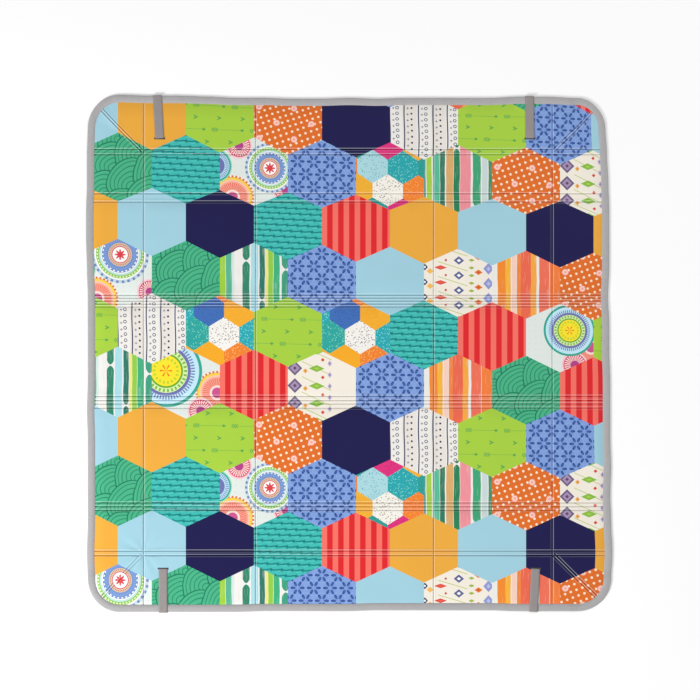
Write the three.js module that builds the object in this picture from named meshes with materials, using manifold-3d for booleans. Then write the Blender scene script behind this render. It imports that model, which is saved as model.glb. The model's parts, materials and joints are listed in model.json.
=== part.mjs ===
// Folding padded mat with a bound edge, fold channels and four elastic corner bands.
// Millimetres, +Z up, print side up, back resting on z = 0, centred on X and Y.
import * as THREE from "three";
import { mergeVertices } from "three/addons/utils/BufferGeometryUtils.js";
import Module from "manifold-3d";

// Overall size and the lines where the mat folds
const HALF_X = 600;
const HALF_Y = 591;
const CORNER_R = 75;
const X_LINES = [-HALF_X, -470, -212, 196, 467, HALF_X];
const Y_LINES = [HALF_Y, 462, 357, 120.5, -111.5, -351, -458, -HALF_Y];
const X_CHANNEL = [0, 8, 9, 9, 8, 0];
const Y_CHANNEL = [0, 11, 20, 29, 29, 18, 9, 0];

// Layers of one panel
const PAD_TOP = 3.0;
const PAD_SHOULDER = 2.0;
const PAD_BEVEL = 1.4;
const WELD_LOW = 0.2;
const WELD_TOP = 1.0;
const TONGUE_LOW = 0.9;
const TONGUE_TOP = 2.3;
const HINGE_GAP = 0.15;
const DIAGONAL_CHANNEL = 9;
const PIVOT_CLEAR = 4.5;
const WALL_CLEAR = 2.6;

// Edge binding, folded over the rim
const BIND_WIDTH = 17;
const BIND_TOP = 3.2;
const BIND_PLY = 0.6;
const BIND_WEB = 1.2;

// Elastic bands: each a flat loop through a slit and over the rim
const BAND_WIDTH = 22;
const BAND_PLY = 1.0;
const BAND_FRONT = 3.5;
const BAND_BACK = 0.1;
const BAND_LENGTH = 97;
const SLIT_WIDTH = 26;
const SLIT_SPAN = 4;
const BANDS = [
  { name: "band_northwest", x: -433, end: 1 },
  { name: "band_northeast", x: 416, end: 1 },
  { name: "band_southwest", x: -425, end: -1 },
  { name: "band_southeast", x: 429, end: -1 },
];

const COLUMNS = ["west_rim", "west", "middle", "east", "east_rim"];
const ROWS = ["north_rim", "row_1", "row_2", "row_3", "row_4", "row_5", "south_rim"];

const wasm = await Module();
wasm.setup();

// A convex outline moved inwards, edge i by insets[i].
function insetOutline(points, insets) {
  const lines = points.map((p, i) => {
    const q = points[(i + 1) % points.length];
    const length = Math.hypot(q[0] - p[0], q[1] - p[1]);
    const nx = -(q[1] - p[1]) / length;
    const ny = (q[0] - p[0]) / length;
    return { nx, ny, d: nx * p[0] + ny * p[1] + insets[i] };
  });
  return lines.map((line, i) => {
    const prev = lines[(i + lines.length - 1) % lines.length];
    const det = prev.nx * line.ny - prev.ny * line.nx;
    return [
      (prev.d * line.ny - prev.ny * line.d) / det,
      (prev.nx * line.d - prev.d * line.nx) / det,
    ];
  });
}

// A closed body through stacked outlines with equal corner counts: [[outline, z], ...].
function loft(levels) {
  const n = levels[0][0].length;
  const positions = [];
  for (const [outline, z] of levels) {
    for (const [x, y] of outline) {
      positions.push(x, y, z);
    }
  }
  const index = [];
  for (let k = 0; k + 1 < levels.length; k += 1) {
    for (let i = 0; i < n; i += 1) {
      const a = k * n + i;
      const b = k * n + ((i + 1) % n);
      index.push(a, b, b + n, a, b + n, a + n);
    }
  }
  const last = (levels.length - 1) * n;
  for (let i = 1; i + 1 < n; i += 1) {
    index.push(0, i + 1, i);
    index.push(last, last + i, last + i + 1);
  }
  const mesh = new wasm.Mesh({
    numProp: 3,
    vertProperties: new Float32Array(positions),
    triVerts: new Uint32Array(index),
  });
  return new wasm.Manifold(mesh);
}

function prism(outline, z0, z1) {
  return loft([[outline, z0], [outline, z1]]);
}

function rectangle(x0, y0, x1, y1) {
  return [[x0, y0], [x1, y0], [x1, y1], [x0, y1]];
}

function block(x0, y0, z0, x1, y1, z1) {
  return prism(rectangle(x0, y0, x1, y1), z0, z1);
}

// The foam pad of a cell, with a bevelled shoulder round its print face.
function pad(points, insets) {
  const foot = insetOutline(points, insets);
  const face = insetOutline(foot, foot.map(() => PAD_BEVEL));
  return loft([[foot, 0], [foot, PAD_SHOULDER], [face, PAD_TOP]]);
}

function toNode(name, solid, colour, roughness) {
  const made = solid.getMesh();
  const positions = new Float32Array(made.numVert * 3);
  for (let i = 0; i < made.numVert; i += 1) {
    for (let k = 0; k < 3; k += 1) {
      positions[i * 3 + k] = made.vertProperties[i * made.numProp + k];
    }
  }
  let geometry = new THREE.BufferGeometry();
  geometry.setAttribute("position", new THREE.BufferAttribute(positions, 3));
  geometry.setIndex(new THREE.BufferAttribute(made.triVerts, 1));
  geometry = mergeVertices(geometry, 1e-4);
  geometry.computeVertexNormals();
  const material = new THREE.MeshStandardMaterial({ color: colour, roughness });
  const mesh = new THREE.Mesh(geometry, material);
  mesh.name = name;
  return mesh;
}

const group = new THREE.Group();
group.name = "folding_mat";

const COLOURS = [0x9cc8d8, 0x40b5aa, 0xe4a63b, 0x7397d0, 0xa2c83e, 0xdd6b24, 0x46aa7b];

// Space taken out of a panel or binding for a band: the slit and the groove along the back.
function bandSpace(band) {
  const outer = band.end * (HALF_Y + 10);
  const inner = band.end * (HALF_Y - BAND_LENGTH);
  const low = Math.min(outer, inner - band.end * SLIT_SPAN);
  const high = Math.max(outer, inner - band.end * SLIT_SPAN);
  const groove = block(
    band.x - SLIT_WIDTH / 2, low, -1,
    band.x + SLIT_WIDTH / 2, high, BAND_BACK + BAND_PLY + 0.3,
  );
  const slitLow = Math.min(inner + band.end * SLIT_SPAN, inner - band.end * SLIT_SPAN);
  const slit = block(
    band.x - SLIT_WIDTH / 2, slitLow, -1,
    band.x + SLIT_WIDTH / 2, slitLow + 2 * SLIT_SPAN, 6,
  );
  return groove.add(slit);
}

// Straight cells of the grid
for (let c = 0; c < COLUMNS.length; c += 1) {
  for (let r = 0; r < ROWS.length; r += 1) {
    const rimX = c === 0 || c === COLUMNS.length - 1;
    const rimY = r === 0 || r === ROWS.length - 1;
    if (rimX && rimY) {
      continue;
    }
    const x0 = X_LINES[c];
    const x1 = X_LINES[c + 1];
    const y0 = Y_LINES[r + 1];
    const y1 = Y_LINES[r];
    const cell = rectangle(x0, y0, x1, y1);
    // edges in order: south, east, north, west
    const outer = [
      r === ROWS.length - 1,
      c === COLUMNS.length - 1,
      r === 0,
      c === 0,
    ];
    const channels = [Y_CHANNEL[r + 1], X_CHANNEL[c + 1], Y_CHANNEL[r], X_CHANNEL[c]];
    const padInsets = outer.map((edge, i) => (edge ? BIND_WIDTH + 0.3 : channels[i] / 2));
    const weldInsets = outer.map((edge) => (edge ? BIND_WIDTH + 0.3 : HINGE_GAP));
    let solid = pad(cell, padInsets).add(prism(insetOutline(cell, weldInsets), WELD_LOW, WELD_TOP));
    const side = outer.indexOf(true);
    if (side >= 0) {
      // side walls stop short of the north and south walls they meet when all stand up
      const edge = HINGE_GAP;
      const north = rimX && r === 1 ? WALL_CLEAR : edge;
      const south = rimX && r === ROWS.length - 2 ? WALL_CLEAR : edge;
      const rim = BIND_WEB + 0.3;
      const deep = BIND_WIDTH + 2;
      const width = x1 - x0;
      const height = y1 - y0;
      const tongueInsets = [
        [rim, edge, height - deep, edge],
        [south, rim, north, width - deep],
        [height - deep, edge, rim, edge],
        [south, width - deep, north, rim],
      ][side];
      solid = solid.add(prism(insetOutline(cell, tongueInsets), TONGUE_LOW, TONGUE_TOP));
      const strip = [
        [0, edge, height - BIND_WIDTH, edge],
        [south, 0, north, width - BIND_WIDTH],
        [height - BIND_WIDTH, edge, 0, edge],
        [south, width - BIND_WIDTH, north, 0],
      ][side];
      const hollow = [
        [BIND_WEB, -5, height - BIND_WIDTH - 5, -5],
        [-5, BIND_WEB, -5, width - BIND_WIDTH - 5],
        [height - BIND_WIDTH - 5, -5, BIND_WEB, -5],
        [-5, width - BIND_WIDTH - 5, -5, BIND_WEB],
      ][side];
      let tape = prism(insetOutline(cell, strip), 0, BIND_TOP);
      const inside = prism(insetOutline(cell, hollow), BIND_PLY, BIND_TOP - BIND_PLY);
      tape = tape.subtract(inside);
      for (const band of BANDS) {
        if (band.x > x0 && band.x < x1 && rimY && band.end === (r === 0 ? 1 : -1)) {
          solid = solid.subtract(bandSpace(band));
          const groove = block(
            band.x - SLIT_WIDTH / 2, Math.min(y0, y1) - 20, -1,
            band.x + SLIT_WIDTH / 2, Math.max(y0, y1) + 20, BAND_BACK + BAND_PLY + 0.3,
          );
          tape = tape.subtract(groove);
        }
      }
      const tapeName = "binding_" + COLUMNS[c] + "_" + ROWS[r];
      group.add(toNode(tapeName, tape, 0xa6a4a5, 0.8));
    }
    const colour = COLOURS[(c * 3 + r * 2) % COLOURS.length];
    group.add(toNode("panel_" + COLUMNS[c] + "_" + ROWS[r], solid, colour, 0.5));
  }
}

// Corner cells: each is two gussets that meet on the diagonal from the fold crossing to the corner
function gusset(sx, sy, onY) {
  const xFold = sx < 0 ? X_LINES[1] : X_LINES[4];
  const yFold = sy > 0 ? Y_LINES[1] : Y_LINES[6];
  const cx = sx * (HALF_X - CORNER_R);
  const cy = sy * (HALF_Y - CORNER_R);
  // the diagonal leaves the fold crossing towards the middle of the rounded corner
  const dx = sx * HALF_X - xFold;
  const dy = sy * HALF_Y - yFold;
  const reach = CORNER_R * Math.SQRT1_2;
  const tip = [cx + sx * reach, cy + sy * reach];
  const steps = 8;
  const arc = [];
  for (let i = 0; i <= steps; i += 1) {
    const angle = (Math.PI / 4) * (i / steps);
    const along = CORNER_R * Math.cos(angle);
    const across = CORNER_R * Math.sin(angle);
    arc.push(onY ? [cx + sx * across, cy + sy * along] : [cx + sx * along, cy + sy * across]);
  }
  arc[steps] = tip;
  let points = onY
    ? [[xFold, yFold], [xFold, yFold + dy], ...arc]
    : [[xFold, yFold], [xFold + dx, yFold], ...arc];
  // the first edge is the crease with the wall, the last is the diagonal, the rest are rim
  let kinds = points.map((p, i) => (i === 0 ? "crease" : "rim"));
  kinds[kinds.length - 1] = "diagonal";
  // outlines run counter-clockwise, so the ones built the other way round are turned
  if ((sx * sy > 0) === onY) {
    points = points.slice().reverse();
    kinds = kinds.slice(0, -1).reverse().concat(["diagonal"]);
  }
  return { points, kinds };
}

for (const sy of [1, -1]) {
  for (const sx of [-1, 1]) {
    for (const onY of [true, false]) {
      const { points, kinds } = gusset(sx, sy, onY);
      const creaseWidth = onY ? X_CHANNEL[1] / 2 : PIVOT_CLEAR;
      const pick = (crease, diagonal, rim) =>
        kinds.map((kind) => ({ crease, diagonal, rim })[kind]);
      const edgeGap = onY ? HINGE_GAP : PIVOT_CLEAR;
      const diagonalGap = HINGE_GAP + 0.05;
      const padPart = pad(points, pick(creaseWidth, DIAGONAL_CHANNEL / 2, BIND_WIDTH + 0.3));
      const weldInsets = pick(edgeGap, diagonalGap, BIND_WIDTH - 2);
      const weld = prism(insetOutline(points, weldInsets), WELD_LOW, WELD_TOP);
      const full = prism(insetOutline(points, pick(edgeGap, diagonalGap, 0)), 0, BIND_TOP);
      const hole = prism(insetOutline(points, pick(-20, -20, BIND_WIDTH)), -1, BIND_TOP + 1);
      const solid = padPart.add(weld).add(full.subtract(hole));
      const place = (sy > 0 ? "north" : "south") + (sx < 0 ? "west" : "east");
      const name = "gusset_" + place + (onY ? "_a" : "_b");
      group.add(toNode(name, solid, onY ? 0xe4a63b : 0x9cc8d8, 0.5));
    }
  }
}

for (const band of BANDS) {
  const outer = band.end * (HALF_Y + 0.3 + BAND_PLY);
  const inner = band.end * (HALF_Y - BAND_LENGTH - BAND_PLY / 2);
  const low = Math.min(outer, inner);
  const high = Math.max(outer, inner);
  const x0 = band.x - BAND_WIDTH / 2;
  const x1 = band.x + BAND_WIDTH / 2;
  const loop = block(x0, low, BAND_BACK, x1, high, BAND_FRONT + BAND_PLY);
  const inside = block(
    x0 - 5, low + BAND_PLY, BAND_BACK + BAND_PLY,
    x1 + 5, high - BAND_PLY, BAND_FRONT,
  );
  group.add(toNode(band.name, loop.subtract(inside), 0x908b8b, 0.85));
}

export default group;
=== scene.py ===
# Folding padded mat: quilted printed panels, welded fold channels, edge binding and elastic bands.
import json
import math

import bmesh
import bpy
from mathutils import Matrix, Vector, noise


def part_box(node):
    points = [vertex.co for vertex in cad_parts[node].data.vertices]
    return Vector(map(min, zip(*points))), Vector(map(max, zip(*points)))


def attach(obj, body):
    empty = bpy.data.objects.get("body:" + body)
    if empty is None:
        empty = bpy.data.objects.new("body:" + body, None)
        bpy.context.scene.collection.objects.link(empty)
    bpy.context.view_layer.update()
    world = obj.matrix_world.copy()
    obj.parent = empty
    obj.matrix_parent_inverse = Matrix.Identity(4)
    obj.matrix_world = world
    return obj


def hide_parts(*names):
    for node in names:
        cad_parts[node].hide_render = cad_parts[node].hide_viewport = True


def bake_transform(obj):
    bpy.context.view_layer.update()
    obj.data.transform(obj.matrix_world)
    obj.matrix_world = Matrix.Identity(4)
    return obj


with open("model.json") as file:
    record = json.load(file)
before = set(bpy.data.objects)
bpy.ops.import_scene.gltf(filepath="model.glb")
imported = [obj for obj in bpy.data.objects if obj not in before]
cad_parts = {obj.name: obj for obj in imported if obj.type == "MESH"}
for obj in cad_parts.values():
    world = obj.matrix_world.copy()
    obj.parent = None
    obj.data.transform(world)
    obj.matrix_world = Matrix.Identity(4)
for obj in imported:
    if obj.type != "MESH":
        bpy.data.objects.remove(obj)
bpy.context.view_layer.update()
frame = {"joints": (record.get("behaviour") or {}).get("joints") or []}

MM = 0.001
JOINTS = {joint["name"]: joint for joint in frame["joints"]}

# ---- Driving sizes, from the frame ----
EDGE_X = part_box("binding_east_rim_row_3")[1].x
EDGE_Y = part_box("binding_middle_north_rim")[1].y
X_FOLDS = [JOINTS[name]["pos_m"][0] for name in
           ("wall_west_row_3", "fold_west", "fold_east", "wall_east_row_3")]
Y_FOLDS = [JOINTS[name]["pos_m"][1] for name in
           ("raise_walls", "fold_row_1", "fold_row_2", "fold_row_4", "fold_row_5", "wall_south")]
COLUMNS = ["west_rim", "west", "middle", "east", "east_rim"]
ROWS = ["north_rim", "row_1", "row_2", "row_3", "row_4", "row_5", "south_rim"]
CORNER_RADIUS = 75 * MM
TAPE_WIDTH = 17 * MM
TAPE_TOP = 3.4 * MM

# Fold channels: half width, half of the width that turns when it folds, and the weld grooves in it
X_CHANNEL = [5 * MM, 6 * MM, 6 * MM, 5 * MM]
X_TURN = 6 * MM
X_GROOVES = [[0.0], [-1 * MM], [-1 * MM], [0.0]]
Y_CHANNEL = [8 * MM, 12 * MM, 16 * MM, 16 * MM, 11 * MM, 7 * MM]
Y_TURN = 8 * MM
Y_GROOVES = [[-6 * MM, 6 * MM], [-9.5 * MM, 9.5 * MM],
             [-13.5 * MM, -6.8 * MM, 0.0, 6.8 * MM, 13.5 * MM], [-13.5 * MM, -4 * MM, 4 * MM, 13.5 * MM],
             [-8.5 * MM, 0.0, 8.5 * MM], [-5 * MM, 5 * MM]]
DIAGONAL_BEND = 6 * MM
DIAGONAL_GROOVES = [-3 * MM, 3 * MM]
GROOVE_FLAT = 0.35 * MM
GROOVE_SLOPE = 1.3 * MM
GROOVE_DEPTH = 1.9 * MM
LIP_WIDTH = 2.2 * MM
LIP_HEIGHT = 0.4 * MM
LOW_LIP = 0.3
PUCKER_REACH = 46 * MM
PUCKER_HEIGHT = 1.87 * MM
PAD_TOP = 3.0 * MM
BACK_LIFT = 0.5 * MM
TAPE_DIP = 0.9 * MM
THINNEST = 0.4 * MM
FOLD_REACH = 30 * MM
RIM_FADE = 40 * MM
DRIFT_FADE = 90 * MM
DRIFT_START = -520
DRIFT_STEP = 65
SHEET_INSET = 5 * MM
RELIEF_STEP = 24 * MM

# How far each soft edge lies off its straight line, in millimetres, every 65 mm from -520 to 520
WEST_DRIFT = [2, 0, 2, 2, 2, 2, 0, 2, 2, 2, 2, 0, -2, -2, 0, 0, 2]
EAST_DRIFT = [2, 5, 2, 0, 2, 0, 0, 0, -2, -2, -5, -2, -2, -2, -4, -7, -11]
NORTH_DRIFT = [2, 0, 0, -2, -5, -5, -7, -7, -5, -7, -5, -5, -5, -5, -2, -2, -5]
SOUTH_DRIFT = [-2, -2, -2, -2, -2, 0, 0, 0, 0, 2, 2, 2, 2, 2, 0, 0, 0]

# Hexagon patchwork: width, the straight side's length and the pitch between rows of patches
HEX_WIDTH = 156.0 * MM
HEX_SIDE = 85.8 * MM
HEX_PITCH = 122.8 * MM
HEX_FIRST_X = -451.0 * MM
HEX_FIRST_Y = 538.0 * MM
HEX_SLANT = HEX_PITCH - HEX_SIDE

# The print runs slightly downhill to the east, more so towards the north edge
LEAN = 0.022
LEAN_GROWTH = 0.0285
DRAWN_IN = 5.5 * MM

# The print repeats after six rows; odd rows start half a patch further out than even ones
PRINT_ROWS = [
    ["sky", "mustard", "arrows", "dots", "navy", "tally", "arrows", "petals", "sky"],
    ["waves", "darts", "rosette", "petals", "mosaic", "brush_pink", "dots", "jewels_leaf"],
    ["mustard", "sky", "navy", "darts", "stripes", "mustard", "sky", "navy", "mustard"],
    ["rosette_high", "waves", "brush_green", "petals", "sky", "jewels", "brush_orange", "dots"],
    ["arrows", "tally", "mosaic_blue", "arrows", "mosaic_blue", "darts", "stripes", "sunburst_small",
     "arrows"],
    ["brush_green", "sunburst", "stripes", "jewels_leaf", "petals", "brush_orange", "waves", "stripes"],
]


# ---- Node helpers ----
class Sketch:
    """Short calls for building a node tree."""

    def __init__(self, tree):
        self.tree = tree

    def node(self, kind, **settings):
        made = self.tree.nodes.new(kind)
        for key, value in settings.items():
            setattr(made, key, value)
        return made

    def put(self, socket, value):
        if isinstance(value, bpy.types.NodeSocket):
            self.tree.links.new(value, socket)
        else:
            socket.default_value = value

    def math(self, operation, a, b=0.0, c=0.0):
        made = self.node("ShaderNodeMath", operation=operation)
        for socket, value in zip(made.inputs, (a, b, c)):
            self.put(socket, value)
        return made.outputs[0]

    def mix(self, factor, a, b):
        made = self.node("ShaderNodeMix", data_type="RGBA")
        self.put(made.inputs[0], factor)
        self.put(made.inputs[6], a)
        self.put(made.inputs[7], b)
        return made.outputs[2]

    def add(self, a, b):
        return self.math("ADD", a, b)

    def sub(self, a, b):
        return self.math("SUBTRACT", a, b)

    def mul(self, a, b):
        return self.math("MULTIPLY", a, b)

    def below(self, a, limit):
        return self.math("LESS_THAN", a, limit)

    def above(self, a, limit):
        return self.math("GREATER_THAN", a, limit)

    def wrap(self, a, half):
        """a repeated between -half and half."""
        return self.math("WRAP", a, half, -half)

    def size(self, a):
        return self.math("ABSOLUTE", a)

    def length(self, a, b):
        return self.math("SQRT", self.add(self.mul(a, a), self.mul(b, b)))

    def noise(self, vector, scale, detail=2.0):
        made = self.node("ShaderNodeTexNoise")
        self.put(made.inputs["Vector"], vector)
        self.put(made.inputs["Scale"], scale)
        self.put(made.inputs["Detail"], detail)
        return made.outputs["Fac"]

    def steps(self, factor, stops):
        """A colour that changes in steps: stops is [(place, colour), ...]."""
        made = self.node("ShaderNodeValToRGB")
        made.color_ramp.interpolation = "CONSTANT"
        elements = made.color_ramp.elements
        while len(elements) < len(stops):
            elements.new(0.5)
        for element, (place, colour) in zip(elements, stops):
            element.position = place
            element.color = colour
        self.put(made.inputs[0], factor)
        return made.outputs[0]


def ink(code):
    """A linear colour from a six-digit hex code."""
    parts = [int(code[i:i + 2], 16) / 255 for i in (0, 2, 4)]
    return tuple(v / 12.92 if v <= 0.04045 else ((v + 0.055) / 1.055) ** 2.4 for v in parts) + (1.0,)


SKY, NAVY, MUSTARD = ink("9fccdb"), ink("15124a"), ink("e9a83c")
LIME, LEAF = ink("a5cd3f"), ink("3f9a52")
ORANGE, CREAM, PINK = ink("df6d24"), ink("fce3c8"), ink("f4a9a6")
TEAL, PALE_TEAL, DEEP_TEAL = ink("3db8b0"), ink("55cabf"), ink("0f7f7d")
GREEN, DEEP_GREEN = ink("46b083"), ink("16765a")
RED, CORAL = ink("dc2229"), ink("f37062")
BLUE, DEEP_BLUE = ink("7b9bd6"), ink("2b4b92")
PAPER, INK = ink("ece9e4"), ink("36375f")
WHITE, GREY_BLUE = ink("fbfaf5"), ink("dfe6e1")


def film_group():
    """The printed film: ink mottle, painted shade darkening the weld grooves and painted highlights whitening
    the lips, uneven gloss, grain and ripples.
    """
    group = bpy.data.node_groups.new("film", "ShaderNodeTree")
    group.interface.new_socket("Ink", in_out="INPUT", socket_type="NodeSocketColor")
    group.interface.new_socket("Gloss", in_out="INPUT", socket_type="NodeSocketFloat")
    group.interface.new_socket("Colour", in_out="OUTPUT", socket_type="NodeSocketColor")
    group.interface.new_socket("Roughness", in_out="OUTPUT", socket_type="NodeSocketFloat")
    group.interface.new_socket("Height", in_out="OUTPUT", socket_type="NodeSocketFloat")
    s = Sketch(group)
    given = s.node("NodeGroupInput")
    made = s.node("NodeGroupOutput")
    place = s.node("ShaderNodeUVMap", uv_map="flat").outputs[0]
    mottle = s.noise(place, 9.0, 3.0)
    weld_shade_and_highlight = s.node("ShaderNodeAttribute", attribute_name="weld").outputs["Fac"]
    shade = s.node("ShaderNodeHueSaturation")
    # Ink value: random mottle, less painted shade where the weld attribute marks a groove
    value = s.sub(s.add(0.955, s.mul(mottle, 0.09)), s.mul(s.math("MAXIMUM", weld_shade_and_highlight, 0.0), 0.2))
    s.put(shade.inputs["Value"], value)
    s.put(shade.inputs["Color"], given.outputs["Ink"])
    # Painted highlight: the ink is mixed towards white on the fold lips, stronger on one side of each groove
    stretched = s.mul(s.math("MAXIMUM", s.mul(weld_shade_and_highlight, -1.0), 0.0), 0.36)
    ink_with_painted_light = s.mix(stretched, shade.outputs[0], ink("eef4f4"))
    smudge = s.noise(place, 26.0, 4.0)
    grain = s.noise(place, 1400.0, 1.0)
    ripple = s.noise(place, 5.0, 2.0)
    s.put(made.inputs["Colour"], ink_with_painted_light)
    s.put(made.inputs["Roughness"], s.add(given.outputs["Gloss"], s.mul(smudge, 0.12)))
    s.put(made.inputs["Height"], s.add(s.mul(grain, 0.05), ripple))
    return group


FILM = film_group()


def weave_group():
    """A plain weave or rib: thread height, with painted shade darkening the hollows between threads and the
    thread tops lighter.
    """
    group = bpy.data.node_groups.new("weave", "ShaderNodeTree")
    for name in ("Across", "Along"):
        group.interface.new_socket(name, in_out="INPUT", socket_type="NodeSocketFloat")
    group.interface.new_socket("Thread", in_out="INPUT", socket_type="NodeSocketColor")
    group.interface.new_socket("Colour", in_out="OUTPUT", socket_type="NodeSocketColor")
    group.interface.new_socket("Height", in_out="OUTPUT", socket_type="NodeSocketFloat")
    s = Sketch(group)
    given = s.node("NodeGroupInput")
    made = s.node("NodeGroupOutput")
    place = s.node("ShaderNodeUVMap", uv_map="flat").outputs[0]
    split = s.node("ShaderNodeSeparateXYZ")
    s.put(split.inputs[0], place)
    warp = s.math("SINE", s.mul(split.outputs[0], given.outputs["Across"]))
    weft = s.math("SINE", s.mul(split.outputs[1], given.outputs["Along"]))
    height = s.add(0.5, s.mul(0.5, s.mul(warp, weft)))
    fuzz = s.noise(place, 60.0, 3.0)
    shade = s.node("ShaderNodeHueSaturation")
    # Painted shade: the thread colour is darker where the weave is low, plus random fuzz in tone
    value = s.add(0.86, s.add(s.mul(height, 0.14), s.mul(fuzz, 0.14)))
    s.put(shade.inputs["Value"], value)
    s.put(shade.inputs["Color"], given.outputs["Thread"])
    s.put(made.inputs["Colour"], shade.outputs[0])
    s.put(made.inputs["Height"], height)
    return group


WEAVE = weave_group()


def new_material(name):
    material = bpy.data.materials.new(name)
    material.use_nodes = True
    tree = material.node_tree
    shader = next(n for n in tree.nodes if n.type == "BSDF_PRINCIPLED")
    return material, Sketch(tree), shader


def patch_place(s):
    """Millimetres across and up from the middle of the patch."""
    split = s.node("ShaderNodeSeparateXYZ")
    s.put(split.inputs[0], s.node("ShaderNodeUVMap", uv_map="patch").outputs[0])
    return s.mul(split.outputs[0], 1000.0), s.mul(split.outputs[1], 1000.0)


def printed(name, draw, gloss=0.24):
    """A film material whose ink is draw(sketch, across, up)."""
    material, s, shader = new_material("print_" + name)
    across, up = patch_place(s)
    film = s.node("ShaderNodeGroup", node_tree=FILM)
    s.put(film.inputs["Ink"], draw(s, across, up))
    s.put(film.inputs["Gloss"], gloss)
    s.put(shader.inputs["Base Color"], film.outputs["Colour"])
    s.put(shader.inputs["Roughness"], film.outputs["Roughness"])
    bump = s.node("ShaderNodeBump")
    s.put(bump.inputs["Strength"], 0.35)
    s.put(bump.inputs["Distance"], 0.0012)
    s.put(bump.inputs["Height"], film.outputs["Height"])
    s.put(shader.inputs["Normal"], bump.outputs[0])
    shader.inputs["Specular IOR Level"].default_value = 0.3
    return material


def lattice(s, x, y, pitch_x, pitch_y):
    """Offsets to the nearest point of a staggered lattice."""
    ax, ay = s.wrap(x, pitch_x / 2), s.wrap(y, pitch_y)
    bx = s.wrap(s.add(x, pitch_x / 2), pitch_x / 2)
    by = s.wrap(s.add(y, pitch_y), pitch_y)
    nearer = s.below(s.length(ax, ay), s.length(bx, by))
    further = s.sub(1.0, nearer)
    return (s.add(s.mul(ax, nearer), s.mul(bx, further)),
            s.add(s.mul(ay, nearer), s.mul(by, further)))


def turned(s, x, y, degrees):
    c, k = math.cos(math.radians(degrees)), math.sin(math.radians(degrees))
    return s.sub(s.mul(x, c), s.mul(y, k)), s.add(s.mul(x, k), s.mul(y, c))


def draw_stripes(s, x, y):
    return s.mix(s.above(s.wrap(s.add(x, 15.6), 12.6), 0.0), CORAL, RED)


def draw_dots(s, x, y):
    tx, ty = turned(s, x, y, 24)
    dx, dy = lattice(s, tx, ty, 19.5, 10.0)
    colour = s.mix(s.below(s.length(dx, dy), 2.9), ORANGE, CREAM)
    bx, by = lattice(s, s.add(x, 26.0), s.add(y, 6.0), 80.0, 38.0)
    big = s.length(bx, by)
    colour = s.mix(s.below(big, 7.6), colour, PINK)
    return s.mix(s.below(s.size(s.sub(big, 4.6)), 0.9), colour, CREAM)


def draw_arrows(s, x, y):
    row = s.math("FLOOR", s.math("DIVIDE", s.add(y, 14.0), 28.0))
    v = s.wrap(y, 14.0)
    shafted = s.math("PINGPONG", row, 1.0)
    u = s.wrap(s.add(x, s.mul(row, 21.0)), 44.0)
    shaft = s.mul(s.mul(s.below(s.size(v), 0.7), s.below(s.size(u), 30.0)), 0.6)
    barbs = s.below(s.size(s.wrap(s.sub(s.add(u, 30.0), s.size(v)), 2.4)), 1.3)
    feathers = s.mul(s.mul(s.below(s.size(v), 4.6), barbs), s.below(s.size(s.add(u, 33.0)), 7.0))
    tip = s.below(s.add(s.size(s.math("DIVIDE", s.sub(u, 30.0), 5.0)), s.size(s.math("DIVIDE", v, 3.6))), 1.0)
    long_arrow = s.mul(s.math("MAXIMUM", shaft, s.math("MAXIMUM", feathers, tip)), shafted)
    h = s.wrap(s.add(x, s.mul(row, 13.0)), 27.0)
    head = s.below(s.size(v), s.mul(s.sub(5.0, h), 0.48))
    notch = s.above(s.size(v), s.mul(s.sub(-2.0, h), 0.6))
    short_head = s.mul(s.mul(s.mul(head, notch), s.above(h, -6.0)), s.sub(1.0, shafted))
    return s.mix(s.mul(s.math("MAXIMUM", long_arrow, short_head), 0.8), LIME, LEAF)


def draw_darts(s, x, y):
    slanted = s.add(y, s.mul(x, 0.02))
    row = s.math("FLOOR", s.math("DIVIDE", s.add(slanted, 6.65), 13.3))
    v = s.wrap(slanted, 6.65)
    u = s.wrap(s.add(x, s.mul(row, 9.0)), 12.0)
    ripple = s.mul(s.math("SINE", s.mul(u, 0.262)), 0.8)
    line = s.below(s.size(s.add(v, ripple)), 1.6)
    head = s.mul(s.below(s.size(v), s.mul(s.add(u, 8.5), 0.55)), s.mul(s.above(u, -8.5), s.below(u, 0.0)))
    arch = s.add(1.8, s.mul(s.math("COSINE", s.mul(u, 0.262)), 2.4))
    scallop = s.below(s.size(s.sub(s.add(v, 4.6), arch)), 1.0)
    base = s.mix(s.mul(scallop, 0.75), TEAL, PALE_TEAL)
    return s.mix(s.math("MAXIMUM", line, head), base, DEEP_TEAL)


def draw_petals(s, x, y):
    dx, dy = lattice(s, x, y, 37.2, 29.2)
    radius = s.length(dx, dy)
    turn = s.wrap(s.math("ARCTAN2", dy, dx), math.pi / 6)
    along = s.math("DIVIDE", s.sub(radius, 10.4), 6.0)
    wide = s.math("DIVIDE", s.mul(radius, turn), 2.9)
    petal = s.below(s.add(s.mul(along, along), s.mul(wide, wide)), 1.0)
    vein = s.mul(s.below(s.size(wide), 0.16), s.below(along, 0.2))
    halo = s.below(s.size(s.sub(radius, 17.6)), 0.5)
    base = s.mix(s.mul(halo, 0.4), BLUE, ink("a9c2ec"))
    return s.mix(s.mul(petal, s.sub(1.0, s.mul(vein, 0.5))), base, DEEP_BLUE)


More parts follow.
